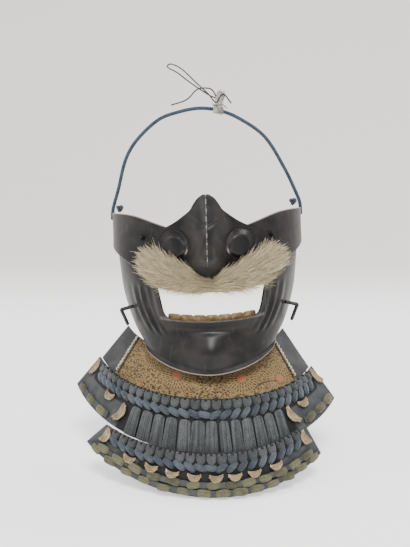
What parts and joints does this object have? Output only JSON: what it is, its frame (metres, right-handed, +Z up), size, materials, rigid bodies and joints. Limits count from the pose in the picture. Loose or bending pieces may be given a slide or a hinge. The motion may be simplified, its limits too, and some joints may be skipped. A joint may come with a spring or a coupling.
{
  "type": "samurai face guard",
  "caption": "Iron half mask with a removable nose, moustache and gilt teeth, a leather throat panel, two laced lames below it and a head cord.",
  "frame": {"origin": "midway between the two ear tips of the mask, where it sits on the head", "axes": "+Z up, -Y the way the face looks, +X to the right as seen from the front"},
  "size_m": [0.224, 0.1601, 0.323],
  "materials": {
    "russet_lacquer": "lacquered hammered iron, rubbed brown on the cheeks and bright on its edges",
    "dark_iron": "blackened iron",
    "wire": "dark annealed wire",
    "hair": "pale animal hair",
    "gilt_teeth": "worn gilt over brown lacquer",
    "stencilled_leather": "tan leather stencilled with flowers in short dark strokes round orange centres",
    "black_leather": "smoked black leather",
    "cream_braid": "cream edging braid",
    "lame_ground": "lacquered rawhide under grey-green cloth",
    "grey_lacing": "slate grey silk lacing",
    "blue_lacing": "faded blue silk lacing",
    "cream_silk": "cream and pink silk knots",
    "olive_pads": "olive silk floss",
    "blue_cord": "blue braided cord",
    "grey_twine": "grey hemp twine"
  },
  "bodies": {
    "root": {"face_plate": "russet_lacquer", "nose_plate": "russet_lacquer", "moustache": "hair", "lower_teeth": "gilt_teeth", "nose_pin_left": "dark_iron", "cord_hook_left": "dark_iron", "nose_pin_right": "dark_iron", "cord_hook_right": "dark_iron", "throat_panel": "stencilled_leather", "throat_flank_left": "black_leather", "edge_braid_left": "cream_braid", "throat_flank_right": "black_leather", "edge_braid_right": "cream_braid", "lame_upper": "lame_ground", "loops_upper": "grey_lacing", "braid_upper": "blue_lacing", "cream_knot_upper_1": "cream_silk", "cream_knot_upper_2": "cream_silk", "cream_knot_upper_3": "cream_silk", "cream_knot_upper_4": "cream_silk", "cream_knot_upper_5": "cream_silk", "cream_knot_upper_6": "cream_silk", "lame_lower": "lame_ground", "loops_lower": "grey_lacing", "braid_lower": "blue_lacing", "cream_knot_lower_1": "cream_silk", "cream_knot_lower_2": "cream_silk", "cream_knot_lower_3": "cream_silk", "cream_knot_lower_4": "cream_silk", "cream_knot_lower_5": "cream_silk", "cream_knot_lower_6": "cream_silk", "cream_knot_lower_7": "cream_silk", "cream_knot_lower_8": "cream_silk", "cream_knot_lower_9": "cream_silk", "cream_knot_lower_10": "cream_silk", "pads_upper_left": "olive_pads", "pads_upper_right": "olive_pads", "pads_lower_first": "olive_pads", "pads_lower_second": "olive_pads", "kebiki_band_1": "grey_lacing", "kebiki_band_2": "grey_lacing", "kebiki_band_3": "grey_lacing", "kebiki_band_4": "grey_lacing", "kebiki_band_5": "grey_lacing", "kebiki_band_6": "grey_lacing", "kebiki_band_7": "grey_lacing", "kebiki_band_8": "grey_lacing", "kebiki_band_9": "grey_lacing", "kebiki_band_10": "grey_lacing", "kebiki_band_11": "grey_lacing", "kebiki_band_12": "grey_lacing", "kebiki_band_13": "grey_lacing", "head_cord": "blue_cord", "cord_knot_left": "blue_cord", "cord_knot_right": "blue_cord", "hanger_wire": "wire", "cord_tie": "grey_twine"}
  },
  "joints": []
}
